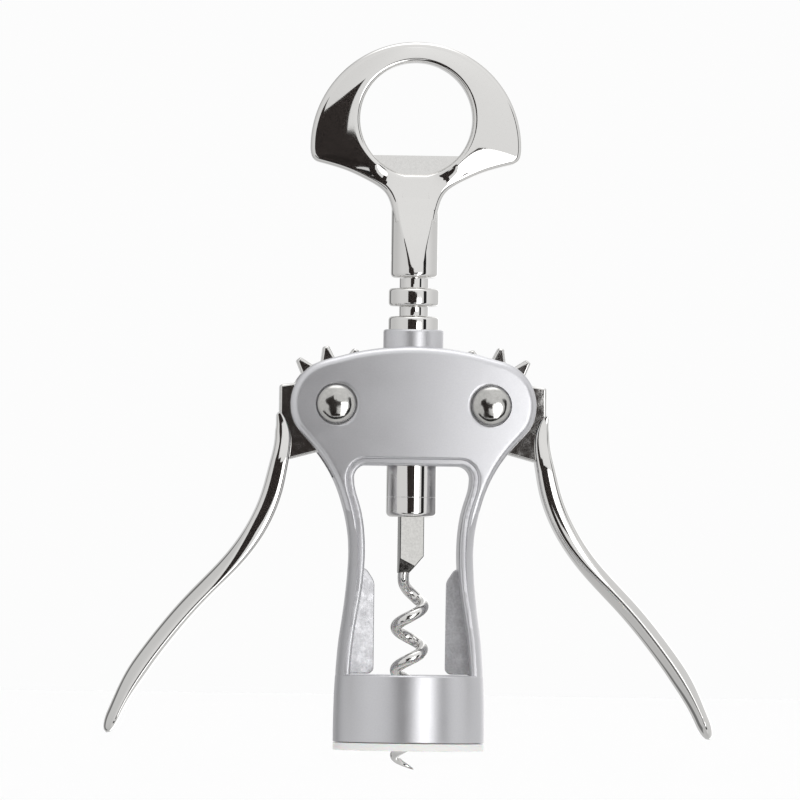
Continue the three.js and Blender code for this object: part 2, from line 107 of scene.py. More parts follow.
class SpindleSizes(PropertyGroup):
    ring_radius: length("Ring radius", "Radius of the rack's rings", 5.98)
    groove_radius: length("Groove radius", "Radius of the rack's grooves", 3.45)
    ring_pitch: length("Ring pitch", "Distance from ring to ring", 12.8 * math.pi / 6)
    wire_radius: length("Wire radius", "Radius of the worm's wire", 1.4)
    coil_radius: length("Coil radius", "Radius of the worm's centre line", 3.2)
    coil_pitch: length("Coil pitch", "Rise of the worm in one turn", 10.2)


class LeverSizes(PropertyGroup):
    plate_half_depth: length("Plate half depth", "Half the gear plate's thickness", 4.0)
    tip_radius: length("Gear tip radius", "From the pivot to the tips of the teeth", 13.95)
    arm_half_width: length("Arm half width", "Half the arm's width, front to back", 5.6)
    arm_half_thickness: length("Arm half thickness", "Half the arm's thickness", 2.35)
    tooth_count: IntProperty(name="Teeth", description="Teeth on each lever", default=7, min=1)


class HandleSizes(PropertyGroup):
    head_radius: length("Head radius", "Radius of the head's domed top", 25.1)
    ring_radius: length("Ring radius", "Radius of the hole in the head", 13.45)
    neck_radius: length("Neck radius", "Radius of the handle's round neck", 5.58)
    rim_round: length("Rim rounding", "Rounding of the head's outer edge", 1.25)


class Finishes(PropertyGroup):
    nickel: colour("Satin nickel", "Frame and bell", "#dddde0")
    chrome: colour("Chrome", "Handle, rack, levers and pins", "#e4e3e1")
    steel: colour("Polished steel", "Worm, rod and rivets", "#c8c7c4")
    nylon: colour("White nylon", "Bell liner and washers", "#f2f2f0")
    floor: colour("Floor", "The pale floor", "#fcfcfc")


# ---------------------------------------------------------------- curves and outlines, in mm


def smooth_curve(points, count):
    """Evenly spaced points on a curve of continuous curvature through the given ones."""
    p = np.asarray(points, float)
    t = np.r_[0.0, np.cumsum(np.linalg.norm(np.diff(p, axis=0), axis=1))]
    h = np.diff(t)
    matrix = np.eye(len(p))
    right = np.zeros_like(p)
    for i in range(1, len(p) - 1):
        matrix[i, i - 1:i + 2] = h[i - 1], 2 * (h[i - 1] + h[i]), h[i]
        right[i] = 6 * ((p[i + 1] - p[i]) / h[i] - (p[i] - p[i - 1]) / h[i - 1])
    bend = np.linalg.solve(matrix, right)

    def at(s):
        i = np.clip(np.searchsorted(t, s, side="right") - 1, 0, len(h) - 1)
        a, b, w = (t[i + 1] - s)[:, None], (s - t[i])[:, None], h[i][:, None]
        cubic = (bend[i] * a**3 + bend[i + 1] * b**3) / (6 * w)
        return cubic + (p[i] / w - bend[i] * w / 6) * a + (p[i + 1] / w - bend[i + 1] * w / 6) * b

    dense = at(np.linspace(0, t[-1], 40 * len(p)))
    run = np.r_[0.0, np.cumsum(np.linalg.norm(np.diff(dense, axis=0), axis=1))]
    even = np.interp(np.linspace(0, run[-1], count + 1), run, np.linspace(0, t[-1], len(run)))
    return at(even)


def arc(centre, radius, start, end, count):
    """Points on an arc, from one angle to another in degrees."""
    angles = np.radians(np.linspace(start, end, count + 1))
    return np.c_[centre[0] + radius * np.cos(angles), centre[1] + radius * np.sin(angles)]


def mirror(points):
    """The same outline on the other side of the axis, running the other way."""
    return np.asarray(points, float)[::-1] * (-1, 1)


def smoothstep(value, low, high):
    t = np.clip((np.asarray(value, float) - low) / (high - low), 0.0, 1.0)
    return t * t * (3 - 2 * t)


def rounded(profile, steps=5):
    """A profile's points, with each corner that has a third number rounded to that radius."""
    result = []
    count = len(profile)
    for i, corner in enumerate(profile):
        here = np.array(corner[:2], float)
        if len(corner) < 3:
            result.append(here)
            continue
        before = np.array(profile[i - 1][:2], float) - here
        after = np.array(profile[(i + 1) % count][:2], float) - here
        a, b = before / np.linalg.norm(before), after / np.linalg.norm(after)
        half = math.acos(np.clip(a @ b, -1, 1)) / 2
        reach = corner[2] / math.tan(half)
        centre = here + (a + b) / np.linalg.norm(a + b) * corner[2] / math.sin(half)
        start, end = here + a * reach - centre, here + b * reach - centre
        sweep = math.pi - 2 * half
        for k in range(steps + 1):
            f = k / steps
            mix = (math.sin((1 - f) * sweep) * start + math.sin(f * sweep) * end) / math.sin(sweep)
            result.append(centre + mix)
    return np.array(result)


def inward(loop):
    """For each point of a closed outline, the step that moves both its edges in by one."""
    loop = np.asarray(loop, float)
    along = np.roll(loop, -1, axis=0) - loop
    along /= np.linalg.norm(along, axis=1)[:, None]
    left = np.c_[-along[:, 1], along[:, 0]]
    both = left + np.roll(left, 1, axis=0)
    both /= np.linalg.norm(both, axis=1)[:, None]
    reach = np.clip((both * left).sum(axis=1), 0.45, 1.0)
    return both / reach[:, None]


def inset(loop, distance):
    distance = np.broadcast_to(distance, len(loop))
    return np.asarray(loop, float) + inward(loop) * distance[:, None]


# ---------------------------------------------------------------- meshes


def new_object(name, mesh):
    piece = bpy.data.objects.new(name, mesh)
    bpy.context.scene.collection.objects.link(piece)
    return piece


def mesh_object(name, vertices, faces, to_world=None):
    """An object from points in mm; its faces are turned outwards."""
    bm = bmesh.new()
    made = [bm.verts.new(Vector(v) * MM) for v in vertices]
    for face in faces:
        bm.faces.new([made[i] for i in face])
    return bmesh_object(name, bm, to_world)


def bmesh_object(name, bm, to_world=None):
    bmesh.ops.remove_doubles(bm, verts=bm.verts, dist=1e-7)
    if to_world is not None:
        bmesh.ops.transform(bm, matrix=to_world, verts=bm.verts)
    bmesh.ops.recalc_face_normals(bm, faces=bm.faces)
    mesh = bpy.data.meshes.new(name)
    bm.to_mesh(mesh)
    bm.free()
    return new_object(name, mesh)


def bands(rows, wrap=False):
    """The faces between each row of vertex numbers and the next; a row of one repeated number is a point."""
    steps = len(rows[0])
    faces = []
    for row, above in zip(rows, rows[1:] + rows[:1] if wrap else rows[1:]):
        for i in range(steps):
            j = (i + 1) % steps
            corners = list(dict.fromkeys([row[i], row[j], above[j], above[i]]))
            if len(corners) > 2:
                faces.append(corners)
    return faces


def turned(name, profile, steps=96, to_world=None):
    """A closed profile of [radius, height] points in mm, turned about Z."""
    profile = [(max(float(r), 0.0), float(z)) for r, z in profile]
    turn = np.linspace(0, math.tau, steps, endpoint=False)
    vertices, rows = [], []
    for r, z in profile:
        if r < 1e-6:
            rows.append([len(vertices)] * steps)
            vertices.append((0, 0, z))
            continue
        rows.append(list(range(len(vertices), len(vertices) + steps)))
        vertices += [(r * math.cos(a), r * math.sin(a), z) for a in turn]
    return mesh_object(name, vertices, bands(rows, wrap=True), to_world)


def plate(name, loops, half_depth, rims, steps=6, to_world=None):
    """A plate in the XZ plane with rounded edges, from an outline and its holes.

    The outline runs counter-clockwise and the holes clockwise. Each rim is the width and the depth of the
    rounding along that loop, as numbers or one number a point."""
    bm = bmesh.new()
    caps = {-1: [], 1: []}
    phases = np.radians(np.linspace(90, 0, steps + 1))
    for loop, (width, depth) in zip(loops, rims):
        loop = np.asarray(loop, float)
        width, depth = np.broadcast_to(width, len(loop)), np.broadcast_to(depth, len(loop))
        normal = inward(loop)
        rows = []
        for side, order in ((1, phases), (-1, phases[::-1])):
            for phase in order:
                at = loop + normal * (width * (1 - math.cos(phase)))[:, None]
                y = side * (half_depth - depth + depth * math.sin(phase))
                rows.append([bm.verts.new((p[0] * MM, v * MM, p[1] * MM)) for p, v in zip(at, y)])
        for row, below in zip(rows, rows[1:]):
            for i in range(len(row)):
                j = (i + 1) % len(row)
                bm.faces.new((row[i], row[j], below[j], below[i]))
        for side, row in ((1, rows[0]), (-1, rows[-1])):
            caps[side] += [bm.edges.get((row[i], row[(i + 1) % len(row)])) for i in range(len(row))]
    for edges in caps.values():
        bmesh.ops.triangle_fill(bm, use_beauty=True, use_dissolve=False, edges=edges)
    return bmesh_object(name, bm, to_world)


def skin(name, rings, to_world=None):
    """A closed skin over a row of rings, in mm; a ring of one point closes an end."""
    vertices, rows = [], []
    steps = max(len(ring) for ring in rings)
    for ring in rings:
        first = len(vertices)
        vertices += [tuple(point) for point in ring]
        rows.append([first] * steps if len(ring) == 1 else list(range(first, first + steps)))
    faces = bands(rows)
    for row in (rows[0], rows[-1]):
        if len(set(row)) > 1:
            faces.append(row)
    return mesh_object(name, vertices, faces, to_world)


def carve(piece, operation, *tools):
    """Joins tools to a piece, cuts them from it, or keeps only what they share with it. The tools go."""
    for tool in tools:
        before = len(piece.data.polygons)
        cut = piece.modifiers.new("carve", "BOOLEAN")
        cut.object, cut.operation, cut.solver = tool, operation, "MANIFOLD"
        result = bpy.data.meshes.new_from_object(piece.evaluated_get(bpy.context.evaluated_depsgraph_get()))
        piece.modifiers.clear()
        old = piece.data
        piece.data = result
        for mesh in (old, tool.data):
            if mesh is tool.data:
                bpy.data.objects.remove(tool)
            bpy.data.meshes.remove(mesh)
        if len(result.polygons) == before:
            raise RuntimeError(f"{piece.name}: {operation} changed nothing")
    return piece


def settle(piece, body, slot, material, *nodes, sharp=32):
    """Shades a finished piece, gives it its material and body, and hides the CAD nodes that it stands for.
    The slot is not used.
    """
    bm = bmesh.new()
    bm.from_mesh(piece.data)
    bmesh.ops.remove_doubles(bm, verts=bm.verts, dist=2e-6)
    bmesh.ops.dissolve_degenerate(bm, edges=bm.edges, dist=1e-6)
    for face in bm.faces:
        face.smooth = True
    for edge in bm.edges:
        edge.smooth = len(edge.link_faces) == 2 and edge.calc_face_angle(0) < math.radians(sharp)
    bm.to_mesh(piece.data)
    bm.free()
    piece.data.materials.clear()
    piece.data.materials.append(material)
    weighted = piece.modifiers.new("flat faces stay flat", "WEIGHTED_NORMAL")
    weighted.keep_sharp = True
    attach(piece, body)
    if nodes:
        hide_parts(*nodes)
    return piece


# ---------------------------------------------------------------- materials


def add(tree, kind, settings=None, links=None):
    """A node with its settings, by attribute or socket name, and its inputs linked from other sockets."""
    node = tree.nodes.new(kind)
    for key, value in (settings or {}).items():
        if isinstance(key, str) and key.islower():
            setattr(node, key, value)
        else:
            node.inputs[key].default_value = value
    for key, socket in (links or {}).items():
        tree.links.new(socket, node.inputs[key])
    return node


def metal(name, base, grain_mm, grain_height_mm, rough, wave=(0.0, 10.0), blotch_mm=7.0, tint=0.04):
    """A plated or polished metal: its polish varies in blotches, its surface has a grain and a slow wave.

    The real grain is too fine to show, so it is drawn 0.35 mm wide or more."""
    material = bpy.data.materials.new(name)
    material.use_nodes = True
    tree = material.node_tree
    shader = tree.nodes["Principled BSDF"]
    shader.inputs["Metallic"].default_value = 1.0
    place = add(tree, "ShaderNodeTexCoord").outputs["Object"]
    blotch = add(tree, "ShaderNodeTexNoise", {"Scale": 1000 / blotch_mm, "Detail": 3.0}, {"Vector": place})
    grain = add(tree, "ShaderNodeTexNoise", {"Scale": 1000 / grain_mm, "Detail": 2.0}, {"Vector": place})
    swell = add(tree, "ShaderNodeTexNoise", {"Scale": 1000 / wave[1], "Detail": 0.0}, {"Vector": place})
    polish = add(
        tree, "ShaderNodeMapRange",
        {"From Min": 0.3, "From Max": 0.7, "To Min": rough[0], "To Max": rough[1]},
        {"Value": blotch.outputs["Fac"]},
    )
    dull = add(
        tree, "ShaderNodeMapRange",
        {"From Min": 0.25, "From Max": 0.75, "To Min": 1 - tint, "To Max": 1.0},
        {"Value": grain.outputs["Fac"]},
    )
    shade = add(
        tree, "ShaderNodeMix", {"data_type": "RGBA", "blend_type": "MULTIPLY", 0: 1.0, 6: (*base, 1.0)},
        {7: dull.outputs["Result"]},
    )
    slow = add(
        tree, "ShaderNodeBump", {"Strength": 1.0, "Distance": wave[0] * MM}, {"Height": swell.outputs["Fac"]}
    )
    fine = add(
        tree, "ShaderNodeBump", {"Strength": 1.0, "Distance": grain_height_mm * MM},
        {"Height": grain.outputs["Fac"], "Normal": slow.outputs["Normal"]},
    )
    for socket, value in (("Base Color", shade.outputs[2]), ("Roughness", polish.outputs["Result"]),
                          ("Normal", fine.outputs["Normal"])):
        tree.links.new(value, shader.inputs[socket])
    return material


def finish(name):
    """The material of that name, made the first time it is asked for."""
    if name in bpy.data.materials:
        return bpy.data.materials[name]
    colours = bpy.context.scene.corkscrew_finishes
    # Painted shade: the pressed shank's base colour, darkened to 0.4 of the steel's for the dark reflection
    # of its flat faces.
    steel_darkened_as_painted_shade = [c * 0.4 for c in colours.steel]
    # Each recipe holds the colour, the grain's width and height in mm, the range of roughness, the slow
    # wave's height and width in mm, the blotches' width in mm, and how much the grain darkens the metal.
    recipes = {
        # Die-cast zinc, vibration-finished, then satin nickel: soft broad highlights, a fine even grain.
        "zinc casting, satin nickel": (colours.nickel, 0.35, 0.0022, (0.36, 0.39), (0.0008, 9.0), 6.0, 0.05),
        # The same plate over as-cast skin, where no media reached it: coarse grain and mottling.
        "zinc casting, nickel over cast skin": (
            colours.nickel, 0.6, 0.03, (0.36, 0.5), (0.008, 5.0), 2.2, 0.25,
        ),
        # Zinc casting, buffed and chrome plated: a mirror with the buff's faint slow waves.
        "zinc casting, bright chrome": (colours.chrome, 0.5, 0.0001, (0.03, 0.06), (0.004, 6.0), 5.0, 0.02),
        # Chrome over surfaces that no buff reached: the mirror is broken by a fine pebble.
        "zinc casting, unbuffed chrome": (colours.chrome, 0.5, 0.007, (0.06, 0.14), (0.003, 6.0), 2.0, 0.10),
        # Turned steel, chrome plated: the cleanest mirror.
        "turned steel, chrome": (colours.chrome, 0.4, 0.0001, (0.03, 0.05), (0.0008, 5.0), 5.0, 0.01),
        # Steel rivet head, formed by a punch and plated: a mirror with shallow dents.
        "formed rivet, chrome": (colours.steel, 0.8, 0.014, (0.09, 0.16), (0.09, 2.2), 2.0, 0.14),
        # Wound and tumbled steel wire: bright, with small dents that break the highlights.
        "steel wire, tumbled bright": (colours.chrome, 0.9, 0.014, (0.05, 0.11), (0.05, 2.6), 1.4, 0.06),
        # The same wire pressed flat under the ferrule: duller, with specks where the scale was pressed in,
        # and a base colour darkened as painted shade for the dark reflection of its flat faces.
        "steel, pressed flat": (steel_darkened_as_painted_shade, 0.5, 0.004, (0.07, 0.15), (0.004, 3.0), 1.0, 0.2),
    }
    if name in recipes:
        base, *rest = recipes[name]
        return metal(name, tuple(base), *rest)
    return nylon(name, tuple(colours.nylon))


def nylon(name, base):
    """Moulded nylon: milky, slightly soft light inside and the faint texture of a sparked mould.

    The texture is drawn at 0.3 mm, coarser than it is, so that it shows."""
    material = bpy.data.materials.new(name)
    material.use_nodes = True
    tree = material.node_tree
    shader = tree.nodes["Principled BSDF"]
    shader.inputs["Subsurface Weight"].default_value = 0.25
    shader.inputs["Subsurface Scale"].default_value = 1.2 * MM
    shader.inputs["IOR"].default_value = 1.53
    place = add(tree, "ShaderNodeTexCoord").outputs["Object"]
    spark = add(tree, "ShaderNodeTexNoise", {"Scale": 1000 / 0.3, "Detail": 2.0}, {"Vector": place})
    flow = add(tree, "ShaderNodeTexNoise", {"Scale": 1000 / 8.0, "Detail": 1.0}, {"Vector": place})
    sheen = add(
        tree, "ShaderNodeMapRange", {"To Min": 0.36, "To Max": 0.5}, {"Value": flow.outputs["Fac"]}
    )
    milk = add(
        tree, "ShaderNodeMix",
        {"data_type": "RGBA", 6: (*base, 1.0), 7: (*[c * 0.94 for c in base], 1.0)}, {0: flow.outputs["Fac"]},
    )
    bump = add(
        tree, "ShaderNodeBump", {"Strength": 1.0, "Distance": 0.002 * MM}, {"Height": spark.outputs["Fac"]}
    )
    for socket, value in (("Base Color", milk.outputs[2]), ("Roughness", sheen.outputs["Result"]),
                          ("Normal", bump.outputs["Normal"])):
        tree.links.new(value, shader.inputs[socket])
    return material


# ---------------------------------------------------------------- the frame casting


def frame_outline():
    """The casting's outline, up the right leg, over the crown and down the left leg."""
    leg = [
        (17.6, 10.5), (17.58, 14.5), (17.5, 19.1), (16.85, 26.3), (15.9, 33.0), (15.05, 40.5), (14.72, 46.5),
        (14.95, 51.5), (16.0, 57.2), (18.55, 64.4), (22.6, 70.8), (25.75, 74.4),
    ]
    corner = arc((PIVOT[0], PIVOT[2]), 10.85, -28, 50, 4)
    crown = [(21.9, 92.55), (18.7, 93.45), (14.7, 94.5), (7.6, 95.75)]
    side = np.vstack([leg, corner, crown])
    return smooth_curve(np.vstack([side, [(0.0, 96.2)], mirror(side)]), 340)


def window_outline(widen=0.0):
    """The window between the legs, clockwise, or the same widened evenly."""
    side = smooth_curve([
        (14.5, 14.5), (14.25, 20.0), (13.3, 29.0), (11.85, 38.0), (11.2, 46.0), (11.45, 52.5), (12.6, 58.5),
        (13.85, 63.0), (14.0, 64.8),
    ], 84)
    right = np.vstack([side, arc((11.0, 64.8), 3.0, 0, 90, 12)[1:], [(6.0, 67.8)]])
    loop = np.vstack([right, mirror(right)])[::-1]
    return inset(loop, widen) if widen else loop


def arch(piece, share):
    """Arches a plate's two faces, which fall by a share of their depth between the axis and CROWN_REACH."""
    half_width, strip = 28, 1.4
    bm = bmesh.new()
    bm.from_mesh(piece.data)
    for x in np.arange(-half_width, half_width + 0.1, strip):
        geometry = [*bm.verts, *bm.edges, *bm.faces]
        bmesh.ops.bisect_plane(bm, geom=geometry, plane_co=(x * MM, 0, 0), plane_no=(1, 0, 0), dist=1e-7)
    for vertex in bm.verts:
        vertex.co.y *= 1 - share * (vertex.co.x / MM / CROWN_REACH) ** 2
    bm.to_mesh(piece.data)
    bm.free()


def crowned_face(sizes):
    """How far a cheek's crowned face stands from the mid-plane at a pivot, in mm."""
    return (sizes.cheek_half_depth - sizes.crown * (PIVOT[0] / CROWN_REACH) ** 2) / MM


def lever_room(half_depth):
    """The hollow between the cheeks that one lever's gear, plate and arm swing in, on the right."""
    centre = (PIVOT[0], PIVOT[2])
    gear_reach, arm_reach = 14.4, 17.5
    gear = arc(centre, gear_reach, 0, 360, 64)[:-1]
    swing = np.vstack([[centre], arc(centre, arm_reach, -92, 114, 40)])
    rooms = [plate("room", [loop], half_depth, [(0.3, 0.3)], 2) for loop in (gear, swing)]
    return carve(rooms[0], "UNION", rooms[1])


def facing(side, x):
    """Places a piece built along Z along Y at a pivot instead, facing the front (-1) or the back (1)."""
    turn = Matrix.Rotation(math.pi / 2 if side < 0 else -math.pi / 2, 4, "X")
    return Matrix.Translation((x * MM, 0, PIVOT[2] * MM)) @ turn


class CORKSCREW_OT_frame_casting(Operator):
    """The casting: two cheeks, the neck that guides the rack, legs with a beaded window, and the bell"""
    bl_idname = "corkscrew.frame_casting"
    bl_label = "Frame casting"

    def execute(self, context):
        sizes = context.scene.corkscrew_frame
        depth, slot = sizes.cheek_half_depth / MM, sizes.slot_half_depth / MM
        outline = frame_outline()
        soft = smoothstep(outline[:, 1], 58, 76)
        outer_round = sizes.leg_round / MM + soft * (sizes.shoulder_round - sizes.leg_round) / MM
        bead, bead_step = sizes.bead_width / MM, 0.75
        cheeks = plate(
            "cheeks", [outline, window_outline(bead)], depth,
            [(outer_round, outer_round * (0.75 + 0.25 * soft)), (0.8, 1.1)], 8,
        )
        inner = plate(
            "bead", [inset(outline, 1.0), window_outline()], depth - bead_step,
            [(0.5, 0.5), (0.72, 0.9)], 6,
        )
        for part in (cheeks, inner):
            arch(part, sizes.crown / sizes.cheek_half_depth)
        carve(cheeks, "UNION", inner)
        foot = turned("foot", [
            (0, 14), (17.6, 14), (17.55, 19), (17.0, 26.3), (16.1, 33.0), (15.5, 39.5), (15.25, 46.5),
            (15.6, 51), (17.0, 56.5), (21, 61.5), (40, 68), (40, 110), (0, 110),
        ], 192)
        carve(cheeks, "INTERSECT", foot)
        room = lever_room(slot)
        other = room.copy()
        other.data = room.data.copy()
        context.scene.collection.objects.link(other)
        other.data.transform(Matrix.Scale(-1, 4, (1, 0, 0)))
        other.data.flip_normals()
        carve(cheeks, "DIFFERENCE", room, other)
        radius = sizes.neck_radius / MM
        neck = turned("neck", rounded([(0, 89), (radius, 89), (radius, 100.3, 0.55), (0, 100.3)]), 96)
        carve(cheeks, "UNION", neck)
        bore = turned("bore", rounded([(0, 60), (6.3, 60), (6.3, 99.8), (7.0, 100.9), (0, 100.9)]), 96)
        carve(cheeks, "DIFFERENCE", bore)
        face = crowned_face(sizes)
        recess = rounded([
            (0, -1), (3.1, -1), (3.1, face - 2.3), (4.88, face - 2.3), (4.9, face - 0.25),
            (5.05, face - 0.08), (5.3, face + 0.01), (5.7, face + 0.1), (5.7, face + 2), (0, face + 2),
        ])
        for x in (-PIVOT[0], PIVOT[0]):
            for side in (-1, 1):
                carve(cheeks, "DIFFERENCE", turned("recess", recess, 96, facing(side, x)))
        bell = sizes.bell_radius / MM
        carve(cheeks, "DIFFERENCE", turned("mouth", [(0, 10), (13.7, 10), (13.7, 18), (0, 18)], 128))
        carve(cheeks, "UNION", turned("bell", rounded([
            (16.2, 1.95), (bell, 1.95, 0.2), (bell, 7.0), (bell - 0.12, 13.0), (bell - 0.36, 18.0, 0.55),
            (13.7, 18.0, 0.4), (13.7, 13.3), (16.2, 13.3),
        ]), 192))
        settle(cheeks, "frame", "satin_nickel", finish("zinc casting, satin nickel"), "frame_casting")
        cheeks.name = "frame_casting_skin"
        free_edge = 8.5
        for side in (-1, 1):
            outline = rounded([
                (free_edge, 18.15, 1.6), (15.4, 18.15), (14.6, 25.0), (12.9, 35.0), (12.2, 43.4),
                (10.6, 43.4, 2.0), (8.55, 40.2, 3.0),
            ], 8)
            fin = plate(
                f"cork_fin_{'left' if side < 0 else 'right'}", [outline], 1.0, [(0.3, 0.35)], 4,
                Matrix.Scale(-1, 4, (1, 0, 0)) if side < 0 else None,
            )
            for vertex in fin.data.vertices:  # half as thick at the free edge, thicker towards the leg
                vertex.co.y *= 0.5 + 0.13 * (abs(vertex.co.x) / MM - free_edge)
            settle(fin, "frame", "satin_nickel", finish("zinc casting, nickel over cast skin"))
        return {"FINISHED"}


class CORKSCREW_OT_bell_liner(Operator):
    """The plastic liner that cushions the bell on the bottle's lip"""
    bl_idname = "corkscrew.bell_liner"
    bl_label = "Bell liner"

    def execute(self, context):
        rim = context.scene.corkscrew_frame.bell_radius / MM - 0.02
        liner = turned("bell_liner_rim", rounded([
            (15.2, 0, 0.3), (rim, 0, 0.3), (rim, 1.8, 0.2), (15.9, 1.8, 0.1), (15.9, 13.0, 0.2),
            (15.2, 13.0, 0.2),
        ]), 192)
        settle(liner, "frame", "white_nylon", finish("nylon, moulded"), "bell_liner")
        return {"FINISHED"}


# ---------------------------------------------------------------- the handle


def head_outline():
    """The head's outline, counter-clockwise from the right of the neck."""
    sweep = smooth_curve([
        (4.7, 125.6), (5.3, 128.4), (6.0, 130.9), (7.1, 132.9), (9.0, 134.5), (11.9, 136.1), (16.0, 137.95),
        (22.4, 139.85),
    ], 60)
    radius = bpy.context.scene.corkscrew_handle.head_radius / MM
    corner = smooth_curve([(22.4, 139.85), (23.75, 140.3), (24.65, 141.2), (25.02, 142.5)], 12)[1:]
    dome = arc(HEAD_CENTRE, radius, -1.5, 90, 70)[:-1]
    right = np.vstack([sweep, corner, dome])
    return np.vstack([right, [(0, HEAD_CENTRE[1] + radius)], mirror(right)])


def flat_depth(height):
    """How far the handle's tapering flats, and the head above them, stand from the mid-plane at a height."""
    curve = smooth_curve([
        (112.2, 5.62), (114.5, 5.52), (117.5, 5.31), (120.5, 4.99), (123.5, 4.51), (126.3, 3.99),
        (128.9, 3.52), (131.5, 3.12), (134.5, 2.74), (138.5, 2.3),
    ], 60)
    return np.interp(height, curve[:, 0], curve[:, 1])


def handle_neck(radius):
    """The round neck with its two flats, ring by ring, so that each flat ends in a clean soft edge."""
    rings = []
    soft, blend = math.radians(6), 0.07  # the angle and the depth over which a flat meets the round
    foot_round = NECK_FOOT + 1 - np.cos(np.linspace(0, math.pi / 2, 7))
    for z in [*foot_round, *np.linspace(114, 133.6, 46)]:
        round_radius = radius - 1 + math.sqrt(max(0, 1 - max(0, NECK_FOOT + 1 - z) ** 2))
        flat = flat_depth(z) - 0.11 * smoothstep(z, 129.5, 133.6)
        edge = min(math.asin(min(1, flat / round_radius)), math.radians(80))
        quarter = np.concatenate([
            np.linspace(0, edge - soft, 12)[:-1], np.linspace(edge - soft, edge + soft, 11),
            np.linspace(edge + soft, math.pi / 2, 9)[1:],
        ])
        half = np.concatenate([quarter, math.pi - quarter[-2::-1]])
        turn = np.concatenate([half, math.pi + half[1:-1]])
        to_flat = flat / np.clip(np.abs(np.sin(turn)), 0.05, None)
        apart = np.abs(to_flat - round_radius)
        reach = np.minimum(to_flat, round_radius) - blend * np.log1p(np.exp(-apart / blend))
        rings.append(np.c_[reach * np.cos(turn), reach * np.sin(turn), np.full(len(turn), z)])
    return skin("neck", rings)


def head_casting(rim):
    """The flat head as two skins of rays from the ring to the rim, thickest at the ring."""
    ring_depth, crown_fall = 3.45, 0.9  # half the thickness at the ring, and its loss towards the rim
    bevel, bevel_depth, rim_depth = 1.1, 0.95, 1.15
    outline = head_outline()
    ring = bpy.context.scene.corkscrew_handle.ring_radius / MM
    centre = np.array(RING_CENTRE, float)
    outline = outline[np.argsort(np.unwrap(np.arctan2(outline[:, 1] - centre[1], outline[:, 0] - centre[0])))]
    step_in = inward(outline)
    ray = outline - centre
    unit = ray / np.linalg.norm(ray, axis=1)[:, None]
    rows = []

    def depth_at(points, share):
        below = smoothstep(-unit[:, 1], 0.74, 0.97)
        crown = ring_depth - crown_fall * share**1.6
        return crown * (1 - below) + (flat_depth(points[:, 1]) - 0.055) * below

    for phase in np.radians(np.linspace(0, 90, 8)):
        at = centre + unit * (ring + bevel * (1 - math.cos(phase)))
        rows.append((at, depth_at(at, np.zeros(len(at))) - bevel_depth * (1 - math.sin(phase))))
    for share in np.linspace(0, 1, 26)[1:-1]:
        inner = centre + unit * (ring + bevel)
        outer = outline + step_in * rim
        at = inner + (outer - inner) * share
        rows.append((at, depth_at(at, np.full(len(at), share))))
    for phase in np.radians(np.linspace(90, 0, 9)):
        at = outline + step_in * rim * (1 - math.cos(phase))
        edge = outline + step_in * rim
        rows.append((at, depth_at(edge, np.ones(len(at))) - rim_depth * (1 - math.sin(phase))))
    front = [[(p[0], -y, p[1]) for p, y in zip(at, depth)] for at, depth in rows]
    back = [[(p[0], y, p[1]) for p, y in zip(at, depth)] for at, depth in rows]
    loops = front + back[::-1]
    vertices = [point for loop in loops for point in loop]
    numbers = np.arange(len(vertices)).reshape(len(loops), len(outline)).tolist()
    return mesh_object("opener_head_skin", vertices, bands(numbers, wrap=True))


def crosswise(name, profile, steps=48):
    """A round piece or a drill along X, at the height of the cross pin, from its profile of [radius, x]."""
    place = Matrix.Translation((0, 0, CROSS_PIN_Z * MM)) @ Matrix.Rotation(math.pi / 2, 4, "Y")
    return turned(name, profile, steps, place)


class CORKSCREW_OT_opener_handle(Operator):
    """The handle: a crowned head with its ring and crown-cap tongue, on a round neck with tapering flats"""
    bl_idname = "corkscrew.opener_handle"
    bl_label = "Opener handle"

    def execute(self, context):
        sizes = context.scene.corkscrew_handle
        radius = sizes.neck_radius / MM
        head = head_casting(sizes.rim_round / MM)
        neck = handle_neck(radius)
        carve(head, "UNION", neck)
        reach, top_angle = 13.95, 38.6  # of the tongue, which ends in a straight edge across the ring
        outline = arc(RING_CENTRE, reach, 180 + top_angle, 360 - top_angle, 40)
        tongue = plate("tongue", [outline], 2.9, [(0.3, 0.3)], 3)
        wedge = plate(
            "wedge", [[(-0.95, 142.5), (-1.5, 136.0), (1.5, 136.0), (0.95, 142.5)]], 14, [(0.01, 0.01)], 1,
            Matrix.Rotation(math.pi / 2, 4, "Z"),
        )
        carve(tongue, "INTERSECT", wedge)
        settle(tongue, "screw", "chrome", finish("zinc casting, unbuffed chrome"))
        tongue.name = "cap_tongue"
        socket = turned("socket", [(0, 110), (2.6, 110), (2.6, 124.3), (0, 124.3)], 64)
        carve(head, "DIFFERENCE", socket, crosswise("drill", [(0, -9), (1.15, -9), (1.15, 9), (0, 9)]))
        settle(head, "screw", "chrome", finish("zinc casting, bright chrome"), "opener_head", sharp=17)
        return {"FINISHED"}


# ---------------------------------------------------------------- the spindle


